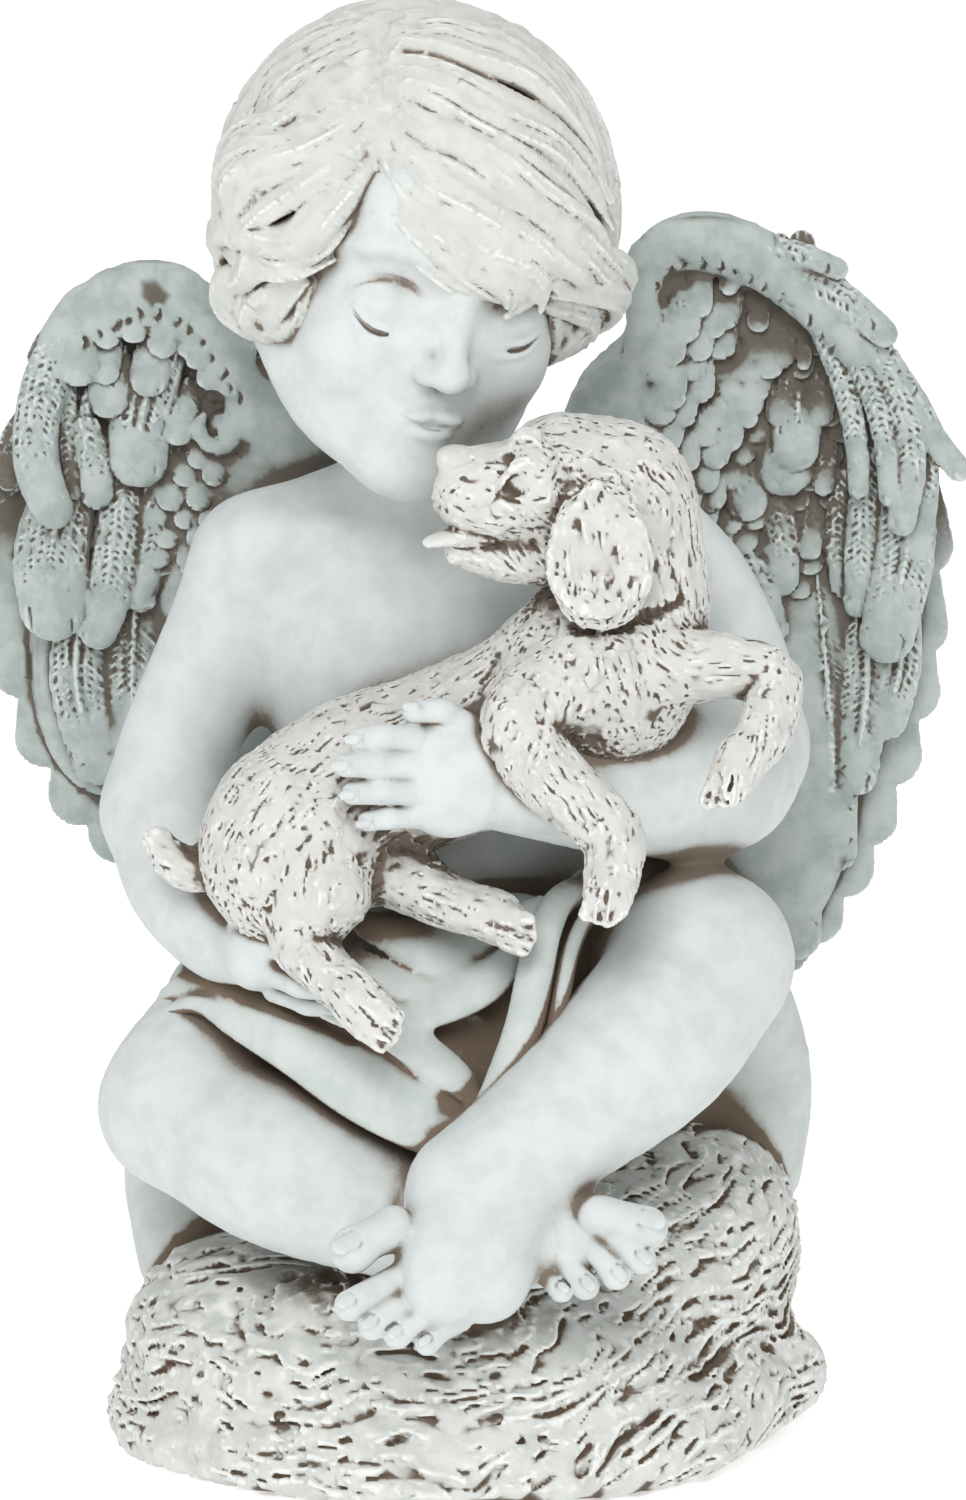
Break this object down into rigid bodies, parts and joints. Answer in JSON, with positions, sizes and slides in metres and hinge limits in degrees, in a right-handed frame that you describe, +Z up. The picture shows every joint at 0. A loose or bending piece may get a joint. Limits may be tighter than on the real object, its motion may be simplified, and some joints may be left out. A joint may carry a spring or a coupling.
{
  "type": "cherub statue",
  "caption": "Garden statue of a winged child sitting cross-legged on a rock with a puppy in the arms, cast in weathered pale grey-green stone.",
  "frame": {"origin": "centre of the flat underside of the rock, on the surface that the statue stands on", "axes": "+Z up through the head, -Y the way the child's chest faces, +X to the viewer's right"},
  "size_m": [0.2128, 0.1605, 0.3],
  "materials": {
    "cast_stone": "matte, pale grey-green, with brown patina in the hollows"
  },
  "bodies": {
    "root": {"cherub_statue": "cast_stone"}
  },
  "joints": []
}
